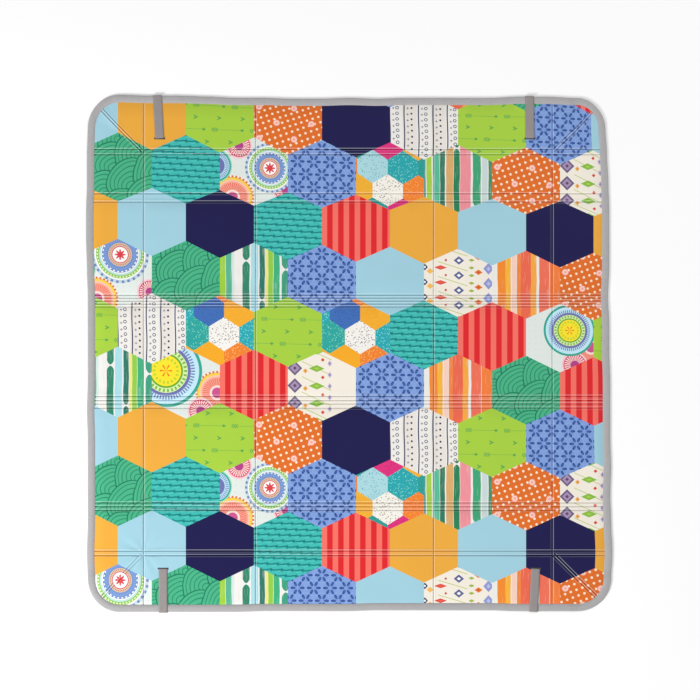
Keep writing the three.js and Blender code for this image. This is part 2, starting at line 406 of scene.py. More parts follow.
def draw_waves(s, x, y):
    place = s.node("ShaderNodeUVMap", uv_map="patch").outputs[0]
    wobble = s.mul(s.sub(s.noise(place, 12.0), 0.5), 30.0)
    tx, ty = turned(s, s.add(x, s.add(wobble, 12.0)), s.add(y, wobble), -52)
    row = s.math("FLOOR", s.math("DIVIDE", ty, 29.0))
    radii = []
    for step in (-1.0, 0.0, 1.0):
        here = s.add(row, step)
        shift = s.mul(s.math("PINGPONG", here, 1.0), 58.0)
        radii.append(s.length(s.wrap(s.add(tx, shift), 58.0), s.sub(ty, s.mul(here, 29.0))))
    near, own, far = radii
    ring = s.add(s.mul(own, s.below(own, 58.0)), s.mul(far, s.above(own, 58.0)))
    front = s.below(near, 58.0)
    ring = s.add(s.mul(near, front), s.mul(ring, s.sub(1.0, front)))
    line = s.above(s.math("COSINE", s.mul(ring, 0.65)), 0.74)
    border = s.above(ring, 55.4)
    return s.mix(s.math("MAXIMUM", s.mul(line, 0.75), border), GREEN, DEEP_GREEN)


def draw_tally(s, x, y):
    wobble = s.mul(s.math("SINE", s.mul(y, 0.05)), 0.8)
    across = s.add(x, wobble)
    u = s.wrap(across, 16.5)
    line = s.below(s.size(s.add(u, 12.0)), 1.35)
    column = s.math("FLOOR", s.math("DIVIDE", s.add(across, 16.5), 33.0))
    chosen = s.math("PINGPONG", column, 1.0)
    plain = s.sub(1.0, chosen)
    from_dot = s.length(s.sub(u, 5.0), s.wrap(y, 7.0))
    dot = s.mul(s.below(from_dot, 2.4), chosen)
    loop = s.mul(s.below(s.size(s.sub(from_dot, 3.2)), 0.8), plain)
    cross_x, cross_y = s.size(s.add(u, 4.0)), s.size(s.wrap(s.add(y, 4.0), 7.5))
    plus = s.mul(s.below(s.math("MINIMUM", cross_x, cross_y), 0.7),
                 s.below(s.math("MAXIMUM", cross_x, cross_y), 3.0))
    mark = s.math("MAXIMUM", s.math("MAXIMUM", dot, loop), s.mul(plus, 0.8))
    base = s.mix(s.mul(chosen, 0.6), PAPER, ink("e2dad0"))
    return s.mix(s.math("MAXIMUM", line, mark), base, INK)


def wheel(s, x, y, under, centre, rings, beads=(), petals=0):
    """A round motif over a ground colour: flat rings, beaded rings and a flower in the middle.

    rings is [(outer radius, colour), ...] from the middle out; beads is
    [(radius, half width, count, colour), ...]."""
    dx, dy = s.sub(x, centre[0]), s.sub(y, centre[1])
    radius = s.length(dx, dy)
    angle = s.math("ARCTAN2", dy, dx)
    reach = rings[-1][0]
    starts = [0.0] + [outer / reach for outer, colour in rings[:-1]]
    colour = s.steps(s.math("DIVIDE", radius, reach), [(at, c) for at, (o, c) in zip(starts, rings)])
    for at, half, count, shade in beads:
        lit = s.mul(s.above(s.math("COSINE", s.mul(angle, float(count))), 0.1),
                    s.below(s.size(s.sub(radius, at)), half))
        colour = s.mix(lit, colour, shade)
    if petals:
        flower = s.below(radius, s.add(9.5, s.mul(s.math("COSINE", s.mul(angle, float(petals))), 3.2)))
        colour = s.mix(flower, colour, ink("d93f4a"))
    return s.mix(s.below(radius, reach), under, colour)


def resized(rings, beads, scale):
    return ([(at * scale, colour) for at, colour in rings],
            [(at * scale, half * scale, count, colour) for at, half, count, colour in beads])


FAN = [(12.0, ink("c9528c")), (17.0, ink("f4d9cf")), (36.0, ink("f3a58c")), (40.0, ink("f7c3ac")),
       (45.0, ink("f6cd4a")), (50.0, ink("d9713a"))]
FAN_BEADS = [(25.0, 8.0, 40, ink("e76a62")), (48.0, 2.0, 34, ink("f7ece0"))]
ROSE_FAN = [(11.0, ink("b13f86")), (26.0, ink("d8466f")), (30.0, ink("f3c9cf"))]
ROSE_BEADS = [(17.0, 7.0, 26, ink("f9e9dd"))]


def rosette(centre, scale):
    rings = [(15.0, WHITE), (17.0, ink("d6556a")), (23.5, ink("dcbfa6")), (36.0, ink("6a8cc6")),
             (38.0, ink("f5f3ea")), (41.5, ink("b7dcd6")), (47.5, ink("8cc152")), (50.0, WHITE),
             (57.0, ink("c4d4dd"))]
    beads = [(20.5, 1.6, 36, ink("b9744f")), (29.0, 3.0, 48, ink("86a2d6")), (34.0, 1.1, 26, WHITE),
             (45.0, 1.4, 44, ink("e9f2c8")), (54.5, 2.6, 30, ink("6c86bb"))]
    rings, beads = resized(rings, beads, scale)

    def draw(s, x, y):
        speck = s.below(s.length(s.wrap(x, 7.0), s.wrap(y, 7.0)), 1.1)
        out = s.mix(s.mul(speck, 0.6), GREY_BLUE, ink("9fc3c9"))
        out = wheel(s, x, y, out, (-49.0, -58.0), FAN, FAN_BEADS)
        out = wheel(s, x, y, out, (74.0, -40.0), ROSE_FAN, ROSE_BEADS)
        out = wheel(s, x, y, out, (-34.0, 60.0), ROSE_FAN, ROSE_BEADS)
        out = wheel(s, x, y, out, (-89.0, 13.0), [(22.0, ink("6d72ae")), (33.0, ink("b5dcec")),
                                                 (36.5, ink("2ea596")), (39.0, ink("9fd6b2"))],
                    [(28.0, 4.0, 40, ink("7f8fc0"))])
        return wheel(s, x, y, out, centre, rings, beads, petals=8)
    return draw


def sunburst(centre, scale):
    def draw(s, x, y):
        speck = s.below(s.length(s.wrap(x, 7.0), s.wrap(y, 7.0)), 1.1)
        out = s.mix(s.mul(speck, 0.6), GREY_BLUE, ink("a7cfc0"))
        out = wheel(s, x, y, out, (72.0, -20.0), FAN, FAN_BEADS)
        out = wheel(s, x, y, out, (34.0, -62.0), ROSE_FAN, ROSE_BEADS)
        rings = [(35.0, ink("f7e12c")), (39.0, ink("67aa2f")), (50.0, ink("d4eca9")), (57.0, ink("6d70ab")),
                 (76.0, ink("bfe4f2")), (83.0, ink("31a58f"))]
        beads = [(27.0, 3.2, 18, ink("b6cf35")), (45.0, 3.6, 30, ink("74b340")),
                 (62.0, 4.6, 60, ink("6d78b4"))]
        rings, beads = resized(rings, beads, scale)
        out = wheel(s, x, y, out, centre, rings, beads)
        dx, dy = s.sub(x, centre[0]), s.sub(y, centre[1])
        spoke = s.math("COSINE", s.mul(s.math("ARCTAN2", dy, dx), 6.0))
        star = s.mul(s.above(spoke, 0.55), s.below(s.length(dx, dy), 14.0 * scale))
        return s.mix(star, out, ink("ee7b22"))
    return draw


def mosaic(offset, colours):
    """Small six-sided patches: seven colours, so that no two neighbours match."""
    def draw(s, x, y):
        px, py = s.sub(x, offset[0]), s.sub(y, offset[1])
        dx, dy = lattice(s, px, py, 69.7, 55.3)
        half_steps = s.math("ROUND", s.math("DIVIDE", s.sub(px, dx), 34.85))
        rows = s.math("ROUND", s.math("DIVIDE", s.sub(py, dy), 55.3))
        pick = s.math("FLOORED_MODULO", s.add(s.mul(half_steps, 0.5), s.mul(rows, 2.5)), 7.0)
        colour = s.steps(s.math("DIVIDE", s.add(pick, 0.5), 7.0),
                         [(i / 7, c) for i, (c, fleck) in enumerate(colours)])
        fleck_colour = s.steps(s.math("DIVIDE", s.add(pick, 0.5), 7.0),
                               [(i / 7, fleck) for i, (c, fleck) in enumerate(colours)])
        cells = s.node("ShaderNodeTexVoronoi")
        s.put(cells.inputs["Vector"], s.node("ShaderNodeUVMap", uv_map="patch").outputs[0])
        s.put(cells.inputs["Scale"], 230.0)
        return s.mix(s.below(cells.outputs["Distance"], 0.27), colour, fleck_colour)
    return draw


JEWELS = [(-76.0, 0.0, 7.0, 8.0, 17.5, INK, WHITE),
          (-64.0, 9.0, 8.0, 7.0, 17.5, ink("f2b95a"), ink("f2b95a")),
          (-40.0, 0.0, 15.0, 5.5, 17.5, ink("dd4b3e"), ink("e8604e")),
          (-28.0, 17.5, 3.5, 3.5, 17.5, ink("c9564a"), ink("c9564a")),
          (2.0, 17.5, 12.0, 10.0, 17.5, ink("5c6392"), WHITE),
          (31.0, 0.0, 7.0, 3.6, 9.0, ink("93ad3a"), LIME),
          (47.0, 9.0, 9.5, 6.5, 17.5, ink("e07a2c"), ink("d8442e")),
          (70.0, 0.0, 12.0, 14.0, 17.5, ink("8f97cf"), ink("b6bce4"))]
JEWELS_LEAF = [(-62.0, 0.0, 17.0, 17.0, 20.0, ink("6d5f82"), ink("ece4ee")),
               (-62.0, 0.0, 11.0, 11.0, 20.0, ink("a88fb4"), ink("5f4a66")),
               (-38.0, 6.0, 5.5, 6.0, 20.0, ink("eaa54a"), ink("d98a3a")),
               (-12.0, 0.0, 18.0, 8.0, 20.0, ink("86b93c"), ink("a3cd52")),
               (2.0, 20.0, 4.5, 4.5, 20.0, ink("d9513c"), ink("c63f33")),
               (18.0, 0.0, 5.0, 7.0, 13.0, ink("b8a6cc"), ink("8c7cb0"))]


def jewelled(columns, slope):
    """Columns of diamonds: (place, lift, half width, half height, half period, colour, middle)."""
    def draw(s, x, y):
        strand = s.wrap(s.add(y, s.mul(x, slope)), 17.5)
        out = s.mix(s.mul(s.below(s.size(strand), 0.9), s.below(s.size(s.sub(x, -12.0)), 34.0)),
                    ink("f0e9dc"), ink("b9c76a"))
        for place, lift, wide, high, period, colour, heart in columns:
            u = s.math("DIVIDE", s.size(s.sub(x, place)), wide)
            v = s.math("DIVIDE", s.size(s.wrap(s.add(y, lift), period)), high)
            spread = s.add(u, v)
            out = s.mix(s.below(spread, 1.0), out, colour)
            out = s.mix(s.below(spread, 0.4), out, heart)
        return out
    return draw


def brushed(strokes):
    """Upright brush strokes over pale ground: (from, to, colour, break height or None) in millimetres."""
    def draw(s, x, y):
        place = s.node("ShaderNodeUVMap", uv_map="patch").outputs[0]
        sway = s.mul(s.sub(s.noise(place, 15.0, 2.0), 0.5), 5.0)
        across = s.add(s.add(x, sway), 78.0)
        stretched = s.node("ShaderNodeMapping")
        stretched.inputs["Scale"].default_value = (1.0, 0.06, 1.0)
        s.put(stretched.inputs["Vector"], place)
        bristle = s.noise(stretched.outputs[0], 420.0, 2.0)
        out = s.mix(s.mul(s.above(bristle, 0.56), 0.35), PAPER, ink("cfdcd8"))
        for start, end, colour, gap in strokes:
            off = s.size(s.sub(across, (start + end) / 2))
            half = (end - start) / 2
            inside = s.below(off, half)
            if gap is not None:
                shoulder = s.sub(s.size(s.sub(y, gap)), 1.5)
                rounded = s.math("SQRT", s.math("MAXIMUM", s.mul(shoulder, half * 0.9), 0.0))
                inside = s.below(off, s.math("MINIMUM", rounded, half))
            out = s.mix(inside, out, colour)
        return s.mix(s.mul(s.above(bristle, 0.62), 0.2), out, PAPER)
    return draw


STROKES_GREEN = [(-4, 13, ink("9ccb3c"), None), (14, 27, ink("58b08e"), None), (27, 33, ink("cfe0dc"), None),
                 (52, 68, ink("2f8468"), 38.0), (71, 88, ink("a5d8e2"), None),
                 (91, 103, ink("2c7766"), -52.0),
                 (104, 111, ink("e6e08a"), None), (111, 122, ink("8fc846"), None),
                 (123, 137, ink("3fae7c"), None),
                 (142, 160, ink("3b9c7c"), 20.0)]
STROKES_PINK = [(-4, 4, ink("4a9a9a"), None), (6, 18, ink("a3cc45"), None), (22, 36, ink("55b894"), None),
                (37, 48, ink("2a7a5c"), None), (51, 67, ink("d9a868"), None), (68, 82, ink("278055"), 72.0),
                (83, 107, ink("ec8f98"), None), (112, 130, ink("3da375"), -66.0),
                (133, 146, ink("c7d6d6"), None),
                (148, 160, ink("3f8f66"), None)]
STROKES_ORANGE = [(13, 31, ink("f18a2b"), None), (31, 43, ink("f4b236"), None), (45, 56, ink("f3cdbd"), None),
                  (57, 66, ink("ee8340"), None), (66, 89, ink("e9674b"), None),
                  (89, 102, ink("f4a640"), None),
                  (108, 131, ink("ec6f55"), None), (132, 160, ink("f07c3a"), None)]
MOSAIC_LIGHT = [(ink("f2efe6"), ink("8a6a4a")), (ink("f0812c"), ink("f6b26a")),
                (ink("a9d6dc"), ink("5fa5b8")),
                (ink("25a3a9"), ink("8fdcd4")), (ink("2a9d94"), ink("1d7f83")),
                (ink("dc2f7c"), ink("b81f66")),
                (ink("eead30"), ink("f2bc45"))]
MOSAIC_BLUE = [(ink("f2efe9"), ink("56505a")), (ink("27a7b0"), ink("9fe2da")), (ink("3e6cb5"), ink("33559c")),
               (ink("f2aa28"), ink("f6b73c")), (ink("f3aa22"), ink("f0a01c")), (ink("ee812c"), ink("f9c77c")),
               (ink("2aa49c"), ink("8fdcc6"))]

PRINTS = {
    "sky": printed("sky", lambda s, x, y: SKY),
    "navy": printed("navy", lambda s, x, y: NAVY, 0.2),
    "mustard": printed("mustard", lambda s, x, y: MUSTARD),
    "arrows": printed("arrows", draw_arrows),
    "dots": printed("dots", draw_dots),
    "tally": printed("tally", draw_tally),
    "petals": printed("petals", draw_petals),
    "waves": printed("waves", draw_waves),
    "darts": printed("darts", draw_darts),
    "rosette": printed("rosette", rosette((36.7, 11.3), 1.0)),
    "rosette_high": printed("rosette_high", rosette((5.5, 44.0), 1.15)),
    "sunburst": printed("sunburst", sunburst((-45.6, 28.0), 1.0)),
    "sunburst_small": printed("sunburst_small", sunburst((22.0, 18.0), 0.72)),
    "mosaic": printed("mosaic", mosaic((-5.0, -32.0), MOSAIC_LIGHT)),
    "mosaic_blue": printed("mosaic_blue", mosaic((9.6, -9.2), MOSAIC_BLUE)),
    "jewels": printed("jewels", jewelled(JEWELS, 0.3)),
    "jewels_leaf": printed("jewels_leaf", jewelled(JEWELS_LEAF, 0.45)),
    "stripes": printed("stripes", draw_stripes),
    "brush_green": printed("brush_green", brushed(STROKES_GREEN)),
    "brush_pink": printed("brush_pink", brushed(STROKES_PINK)),
    "brush_orange": printed("brush_orange", brushed(STROKES_ORANGE)),
}


def woven(name, colour, across, along, roughness, depth):
    material, s, shader = new_material(name)
    weave = s.node("ShaderNodeGroup", node_tree=WEAVE)
    s.put(weave.inputs["Across"], across)
    s.put(weave.inputs["Along"], along)
    s.put(weave.inputs["Thread"], colour)
    s.put(shader.inputs["Base Color"], weave.outputs["Colour"])
    bump = s.node("ShaderNodeBump")
    s.put(bump.inputs["Strength"], 0.6)
    s.put(bump.inputs["Distance"], depth)
    s.put(bump.inputs["Height"], weave.outputs["Height"])
    s.put(shader.inputs["Normal"], bump.outputs[0])
    shader.inputs["Roughness"].default_value = roughness
    shader.inputs["Sheen Weight"].default_value = 0.25
    return material


BACKING = woven("backing_cloth", ink("8f9499"), 3800.0, 3800.0, 0.85, 0.0004)
TAPE = woven("binding_tape", ink("aeacad"), 2600.0, 5200.0, 0.8, 0.0005)
ELASTIC = woven("elastic_web", ink("938d8c"), 2600.0, 3400.0, 0.82, 0.0006)
# Painted shadow: a dark cloth for the plate that stands in for the shade in each band's slit
SLIT_PAINTED_SHADOW = woven("slit_edge", ink("3a3536"), 2600.0, 3400.0, 0.8, 0.0004)


# ---- Shape of the sheet ----
def smoothstep(t):
    t = min(max(t, 0.0), 1.0)
    return t * t * (3 - 2 * t)


def corner_frames():
    """Each corner's fold crossing and the unit direction of its diagonal."""
    frames = []
    reach = CORNER_RADIUS * (1 - math.sqrt(0.5))
    for sy, yf in ((1, Y_FOLDS[0]), (-1, Y_FOLDS[-1])):
        for sx, xf in ((-1, X_FOLDS[0]), (1, X_FOLDS[-1])):
            tip = Vector((sx * (EDGE_X - reach), sy * (EDGE_Y - reach)))
            way = (tip - Vector((xf, yf))).normalized()
            frames.append((sx, sy, Vector((xf, yf)), way))
    return frames


CORNERS = corner_frames()


def corner_name(corner):
    return ("north" if corner[1] > 0 else "south") + ("west" if corner[0] < 0 else "east")


def corner_of(x, y):
    """The corner cell that holds a point, or None."""
    for corner in CORNERS:
        sx, sy, start, way = corner
        if (x - start.x) * sx > 0 and (y - start.y) * sy > 0:
            return corner
    return None


def across_diagonal(corner, x, y):
    """Distance from the diagonal, positive on the side of the east or west edge."""
    sx, sy, start, way = corner
    side = way.x * (y - start.y) - way.y * (x - start.x)
    return side if sx * sy < 0 else -side


def rounded(t):
    return math.sin(math.pi * t) if 0 < t < 1 else 0.0


def weld(x, y):
    """At a point, from 0 to 1: how deep a groove presses, how flat the foam is, how far a lip rises."""
    welds, flat = [], 0.0
    for place, folds, halves, grooves in ((x, X_FOLDS, X_CHANNEL, X_GROOVES),
                                          (y, Y_FOLDS, Y_CHANNEL, Y_GROOVES)):
        for fold, half, offsets in zip(folds, halves, grooves):
            if abs(place - fold) < FOLD_REACH:
                welds += [place - fold - offset for offset in offsets]
                flat = max(flat, 1 - smoothstep((abs(place - fold) - half) / GROOVE_SLOPE))
    corner = corner_of(x, y)
    if corner:
        distance = across_diagonal(corner, x, y)
        welds += [distance - offset for offset in DIAGONAL_GROOVES]
    deep, lip = 0.0, 0.0
    for away in welds:
        gap = abs(away) - GROOVE_FLAT
        deep = max(deep, 1 - smoothstep(gap / GROOVE_SLOPE))
        lip = max(lip, rounded((gap - GROOVE_SLOPE) / LIP_WIDTH) * (1 if away > 0 else LOW_LIP))
    return deep, flat, lip * (1 - deep)


def swell(x, y):
    """Low swells of the foam and film between the folds."""
    return noise.noise(Vector((x * 7.0, y * 7.0, 3.7))) + 0.5 * noise.noise(Vector((x * 17.0, y * 17.0, 9.1)))


def pucker(x, y):
    """Creases that run out from the corner welds, strongest at the south corners."""
    height = 0.0
    for sx, sy, start, way in CORNERS:
        dx, dy = x - start.x, y - start.y
        distance = math.hypot(dx, dy)
        if distance > 3 * PUCKER_REACH:
            continue
        angle = math.atan2(dy, dx)
        rays = math.cos(9 * angle + 1.3 * sx) + 0.6 * math.cos(14 * angle + 2.1 * sy)
        fade = smoothstep(distance / (9 * MM)) * math.exp(-(distance / PUCKER_REACH) ** 2)
        height += (1.0 if sy < 0 else 0.35) * rays * fade
    return PUCKER_HEIGHT * 0.5 * height


def under_tape(x, y):
    return smoothstep((TAPE_WIDTH - outline_place(x, y)[1]) / (2 * MM) + 0.5)


def top_height(x, y):
    deep, flat, lip = weld(x, y)
    rim = smoothstep((EDGE_X - abs(x)) / RIM_FADE) * smoothstep((EDGE_Y - abs(y)) / RIM_FADE)
    plateau = PAD_TOP - 0.4 * MM * flat + (0.5 * MM * swell(x, y) + pucker(x, y)) * (1 - flat) * rim
    top = plateau + LIP_HEIGHT * lip - GROOVE_DEPTH * deep - TAPE_DIP * under_tape(x, y)
    return max(top, back_height(x, y) + THINNEST)


def back_height(x, y):
    return BACK_LIFT * max(weld(x, y)[0], under_tape(x, y))


def drift(table, place):
    """A smooth value between shifts given every 65 mm along an edge, from -520 to 520 mm."""
    step = (place / MM - DRIFT_START) / DRIFT_STEP
    step = min(max(step, 0.0), len(table) - 1.001)
    low = int(step)
    blend = smoothstep(step - low)
    return table[low] * (1 - blend) + table[low + 1] * blend


def edge_wander(x, y):
    """The soft outline isn't straight: small shifts, in millimetres, that grow towards the edge."""
    near_x = smoothstep((abs(x) - EDGE_X + DRIFT_FADE) / DRIFT_FADE)
    near_y = smoothstep((abs(y) - EDGE_Y + DRIFT_FADE) / DRIFT_FADE)
    dx = drift(WEST_DRIFT if x < 0 else EAST_DRIFT, y) * MM * near_x
    dy = drift(SOUTH_DRIFT if y < 0 else NORTH_DRIFT, x) * MM * near_y
    return dx, dy


# ---- Cutting the sheet ----
def cut(bm, point, normal, faces=None, clear=False):
    chosen = list(bm.faces) if faces is None else faces
    edges = {e for f in chosen for e in f.edges}
    verts = {v for f in chosen for v in f.verts}
    bmesh.ops.bisect_plane(bm, geom=chosen + list(edges) + list(verts), dist=1e-6,
                           plane_co=point, plane_no=normal, clear_outer=clear)


def lines_across(folds, turn, grooves):
    """Every line that a relief across the folds needs."""
    reach = [0.0, GROOVE_FLAT, GROOVE_FLAT + GROOVE_SLOPE / 2, GROOVE_FLAT + GROOVE_SLOPE,
             GROOVE_FLAT + GROOVE_SLOPE + LIP_WIDTH / 2, GROOVE_FLAT + GROOVE_SLOPE + LIP_WIDTH]
    lines = []
    for fold, offsets in zip(folds, grooves):
        lines += [fold - turn, fold, fold + turn]
        for offset in offsets:
            lines += [fold + offset + side * gap for gap in reach for side in (-1, 1)]
    return lines


def near_corners(folds):
    """Closer lines round the corner welds, where the film puckers."""
    return [fold + step * 6 * MM for fold in (folds[0], folds[-1]) for step in range(-9, 10)]


def spaced_out(exact, needed, wanted, limit):
    """Sorted lines: the exact ones, needed and wanted ones that keep clear of them, even steps between."""
    kept = [-limit, limit] + [v for v in exact if abs(v) < limit]
    for values, clear in ((needed, 0.15 * MM), (wanted, 2 * MM)):
        for value in values:
            if abs(value) < limit and all(abs(value - k) > clear for k in kept):
                kept.append(value)
    kept.sort()
    full = list(kept)
    for low, high in zip(kept, kept[1:]):
        parts = max(1, round((high - low) / RELIEF_STEP))
        full += [low + (high - low) * i / parts for i in range(1, parts)]
    return sorted(full)


def leaned(x, y):
    """Where a level of the print lands on the mat; the north fold channels draw it in a little."""
    drawn = DRAWN_IN * (smoothstep((y - 320 * MM) / (60 * MM)) + 0.4 * smoothstep((y - 80 * MM) / (200 * MM)))
    return y - (LEAN + LEAN_GROWTH * y) * x - drawn


def level_of(x, y):
    """The level of the print that a point of the mat shows."""
    level = y
    for turn in range(8):
        level += y - leaned(x, level)
    return level


def patch_rows():
    """Number and height of the middle of each row of patches, from the top down."""
    return [(n, HEX_FIRST_Y - HEX_PITCH * n) for n in range(-1, 11)]


def patch_at(x, y):
    """Row number, place in the row and middle of the patch that a point lies in."""
    y = level_of(x, y)
    best = None
    for n, middle_y in patch_rows():
        shift = 0.0 if n % 2 == 0 else -HEX_WIDTH / 2
        k = round((x - HEX_FIRST_X - shift) / HEX_WIDTH)
        middle_x = HEX_FIRST_X + shift + k * HEX_WIDTH
        dx, dy = abs(x - middle_x), abs(y - middle_y)
        over = dy - (HEX_SIDE / 2 + HEX_SLANT * (1 - dx / (HEX_WIDTH / 2)))
        if best is None or over < best[0]:
            best = (over, n, k, middle_x, middle_y)
    return best[1:]


def print_at(n, k):
    row = PRINT_ROWS[n % 6]
    first = -1 if n % 2 == 0 else 0
    return row[(k - first) % len(row)]


def base_sheet():
    """The whole printed sheet as one flat mesh, cut along folds, grooves, patches and outline."""
    half_x, half_y = EDGE_X - SHEET_INSET, EDGE_Y - SHEET_INSET
    half_patch = HEX_WIDTH / 2
    uprights = [HEX_FIRST_X + half_patch * k for k in range(-3, 15)]
    levels = [y for n, y in patch_rows()]
    rim = [TAPE_WIDTH - 1 * MM, TAPE_WIDTH + 1 * MM]
    x_rim = [side * (EDGE_X - depth) for depth in rim for side in (-1, 1)]
    y_rim = [side * (EDGE_Y - depth) for depth in rim for side in (-1, 1)]
    x_needed = lines_across(X_FOLDS, X_TURN, X_GROOVES) + x_rim
    y_needed = lines_across(Y_FOLDS, Y_TURN, Y_GROOVES) + y_rim
    x_lines = spaced_out(uprights, x_needed, near_corners(X_FOLDS), half_x)
    y_lines = spaced_out(levels, y_needed, near_corners(Y_FOLDS), half_y)
    bm = bmesh.new()
    bmesh.ops.create_grid(bm, x_segments=len(x_lines) - 1, y_segments=len(y_lines) - 1, size=1.0)
    for vert in bm.verts:
        vert.co.x = x_lines[round((vert.co.x + 1) / 2 * (len(x_lines) - 1))]
        vert.co.y = y_lines[round((vert.co.y + 1) / 2 * (len(y_lines) - 1))]
    boxes = {}
    for face in bm.faces:
        c = face.calc_center_median()
        column = math.floor((c.x - uprights[0]) / half_patch)
        row = math.floor((levels[0] - c.y) / HEX_PITCH)
        boxes.setdefault((column, row), []).append(face)
    for (column, row), faces in sorted(boxes.items()):
        n = patch_rows()[0][0] + row
        left = uprights[0] + column * half_patch
        middle = round((left - HEX_FIRST_X) / half_patch) % 2 == (0 if n % 2 == 0 else 1)
        level = levels[0] - row * HEX_PITCH
        high, low = level - HEX_SIDE / 2, level - HEX_SIDE / 2 - HEX_SLANT
        start, end = (low, high) if middle else (high, low)
        start, end = leaned(left, start), leaned(left + half_patch, end)
        way = Vector((half_patch, end - start, 0))
        cut(bm, (left, start, 0), (-way.y, way.x, 0), faces)
    for corner in CORNERS:
        sx, sy, start, way = corner
        inside = [f for f in bm.faces if corner_of(*f.calc_center_median().xy) == corner]
        normal = Vector((-way.y, way.x, 0))
        offsets = lines_across([0.0], DIAGONAL_BEND, [DIAGONAL_GROOVES])
        for offset in offsets:
            point = Vector((start.x, start.y, 0)) + normal * offset
            cut(bm, point, normal, [f for f in inside if f.is_valid])
            inside = [f for f in bm.faces if corner_of(*f.calc_center_median().xy) == corner]
    radius = CORNER_RADIUS - SHEET_INSET
    for sx in (-1, 1):
        for sy in (-1, 1):
            for i in range(1, 12):
                angle = math.radians(90 * i / 12)
                way = Vector((sx * math.cos(angle), sy * math.sin(angle), 0))
                centre = Vector((sx * (EDGE_X - CORNER_RADIUS), sy * (EDGE_Y - CORNER_RADIUS), 0))
                cut(bm, centre + way * radius, way, clear=True)
                near = [f for f in bm.faces if (f.calc_center_median() - centre).dot(way) > radius - 30 * MM
                        and sx * (f.calc_center_median().x - centre.x) > 0
                        and sy * (f.calc_center_median().y - centre.y) > 0]
                for gap in (-1 * MM, 1 * MM):
                    cut(bm, centre + way * (CORNER_RADIUS - TAPE_WIDTH - gap), way,
                        [f for f in near if f.is_valid])
    bmesh.ops.remove_doubles(bm, verts=bm.verts, dist=0.02 * MM)
    bm.normal_update()
    for face in bm.faces:
        if face.normal.z < 0:
            face.normal_flip()
    return bm


def zone_of(x, y):
    """Which piece a point of the sheet belongs to: ('pad', body) or ('bend', body, body, line)."""
    column = sum(x > fold for fold in X_FOLDS)
    row = sum(y < fold for fold in Y_FOLDS)
    corner = corner_of(x, y)
    if corner:
        sx, sy, start, way = corner
        place = corner_name(corner)
        wall = ("west_" if sx < 0 else "east_") + ROWS[row]
        if abs(x - start.x) < X_TURN:
            return ("bend", wall, "gusset_" + place + "_a", "x", 0 if sx < 0 else 3)
        distance = across_diagonal(corner, x, y)
        if abs(distance) < DIAGONAL_BEND:
            return ("bend", "gusset_" + place + "_a", "gusset_" + place + "_b", "d", place)
        return ("pad", "gusset_" + place + ("_a" if distance < 0 else "_b"))
    for i, fold in enumerate(X_FOLDS):
        if abs(x - fold) >= X_TURN:
            continue
        if i in (0, 3) and row in (0, 6):
            wall = ("west_" if i == 0 else "east_") + ROWS[row]
            place = ("north" if row == 0 else "south") + ("west" if i == 0 else "east")
            return ("bend", wall, "gusset_" + place + "_a", "x", i)
        left, right = COLUMNS[i] + "_" + ROWS[row], COLUMNS[i + 1] + "_" + ROWS[row]
        return ("bend", left, right, "x", i)
    if column == 2:
        for i, fold in enumerate(Y_FOLDS):
            if abs(y - fold) < Y_TURN:
                return ("bend", "middle_" + ROWS[i], "middle_" + ROWS[i + 1], "y", i)
    return ("pad", COLUMNS[column] + "_" + ROWS[row])


def to_object(bm, name, materials):
    mesh = bpy.data.meshes.new(name)
    bm.to_mesh(mesh)
    bm.free()
    for material in materials:
        mesh.materials.append(material)
    made = bpy.data.objects.new(name, mesh)
    bpy.context.scene.collection.objects.link(made)
    return made


def quilted(faces, name):
    """One closed piece of the laminate over the given faces of the sheet: print, edges and backing."""
    bm = bmesh.new()
    flat = bm.loops.layers.uv.new("flat")
    patch = bm.loops.layers.uv.new("patch")
    painted_light_layer = bm.verts.layers.float.new("weld")
    known = {}
    used = []
    for source in faces:
        corners = []
        for vert in source.verts:
            if vert.index not in known:
                known[vert.index] = bm.verts.new(vert.co)
            corners.append(known[vert.index])
        used.append((bm.faces.new(corners), source))
    materials = []
    for face, source in used:
        c = source.calc_center_median()
        n, k, middle_x, middle_y = patch_at(c.x, c.y)
        kind = print_at(n, k)
        if kind not in materials:
            materials.append(kind)
        face.material_index = materials.index(kind)
        face.smooth = True
        for loop in face.loops:
            x, y = loop.vert.co.xy
            loop[flat].uv = (x, y)
            loop[patch].uv = (x - middle_x, level_of(x, y) - middle_y)
    top = list(bm.faces)
    made = bmesh.ops.extrude_face_region(bm, geom=top, use_keep_orig=True)
    lower = [g for g in made["geom"] if isinstance(g, bmesh.types.BMFace)]
    lower_verts = {v for f in lower for v in f.verts}
    for vert in bm.verts:
        x, y = vert.co.xy
        dx, dy = edge_wander(x, y)
        deep, _, lip = weld(x, y)
        # The weld attribute carries painted light for the film: groove depth for painted shade, lip height
        # (negative) for painted highlight
        vert[painted_light_layer] = deep - lip
        height = back_height(x, y) if vert in lower_verts else top_height(x, y)
        vert.co = (x + dx, y + dy, height)
    backing = len(materials)
    lower_set = set(lower)
    top_set = set(top)
    for face in bm.faces:
        if face in top_set:
            continue
        face.material_index = backing
        face.smooth = face in lower_set
        for loop in face.loops:
            x, y, z = loop.vert.co
            loop[flat].uv = (x + z, y + z)
            loop[patch].uv = (x, y)
    for edge in bm.edges:
        kinds = {f in top_set for f in edge.link_faces}
        if len(kinds) == 2 or any(f not in lower_set and f not in top_set for f in edge.link_faces):
            edge.smooth = False
    bmesh.ops.recalc_face_normals(bm, faces=bm.faces)
    return to_object(bm, name, [PRINTS[kind] for kind in materials] + [BACKING])


